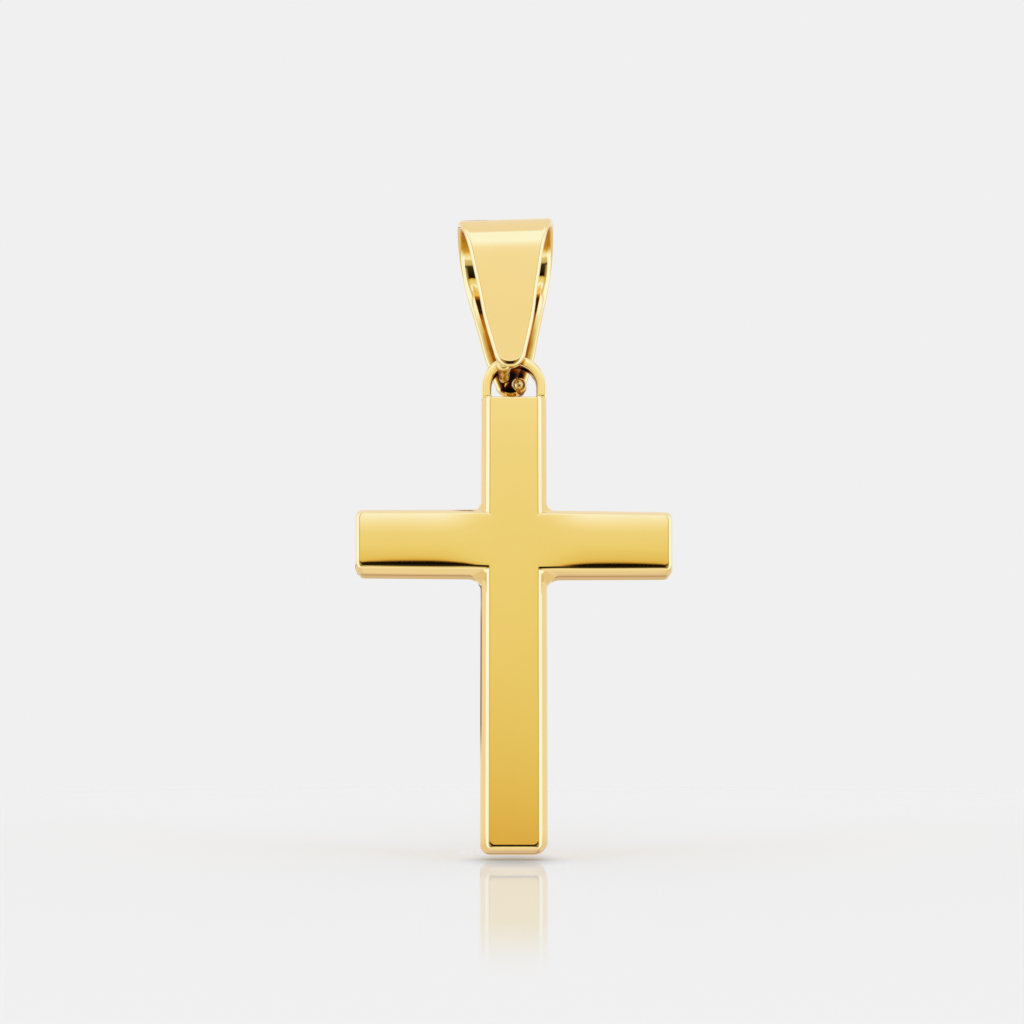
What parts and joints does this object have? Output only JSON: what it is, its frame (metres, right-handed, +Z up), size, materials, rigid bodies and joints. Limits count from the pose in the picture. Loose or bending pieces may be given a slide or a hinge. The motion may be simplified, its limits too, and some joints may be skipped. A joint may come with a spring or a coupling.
{
  "type": "cross pendant",
  "caption": "Polished gold cross pendant with bevelled bars and a loop on its top end, hanging from a folded, tapered bail that a chain passes through.",
  "frame": {"origin": "inside top of the bail's roll, where the necklace chain lies", "axes": "+Z up, -Y out of the cross's front face, +X to the right seen from the front"},
  "size_m": [0.0191, 0.0078, 0.0399],
  "materials": {
    "cross_gold": "mirror polished yellow gold",
    "bail_gold": "mirror polished yellow gold"
  },
  "bodies": {
    "bail": {"bail": "bail_gold"},
    "cross": {"cross": "cross_gold"}
  },
  "joints": [
    {"name": "cross_swing", "type": "hinge", "parent": "bail", "child": "cross", "pos_m": [0.00037, -0.00276, -0.00946], "axis": [1, 0, 0], "range_deg": [-75, 35]}
  ]
}
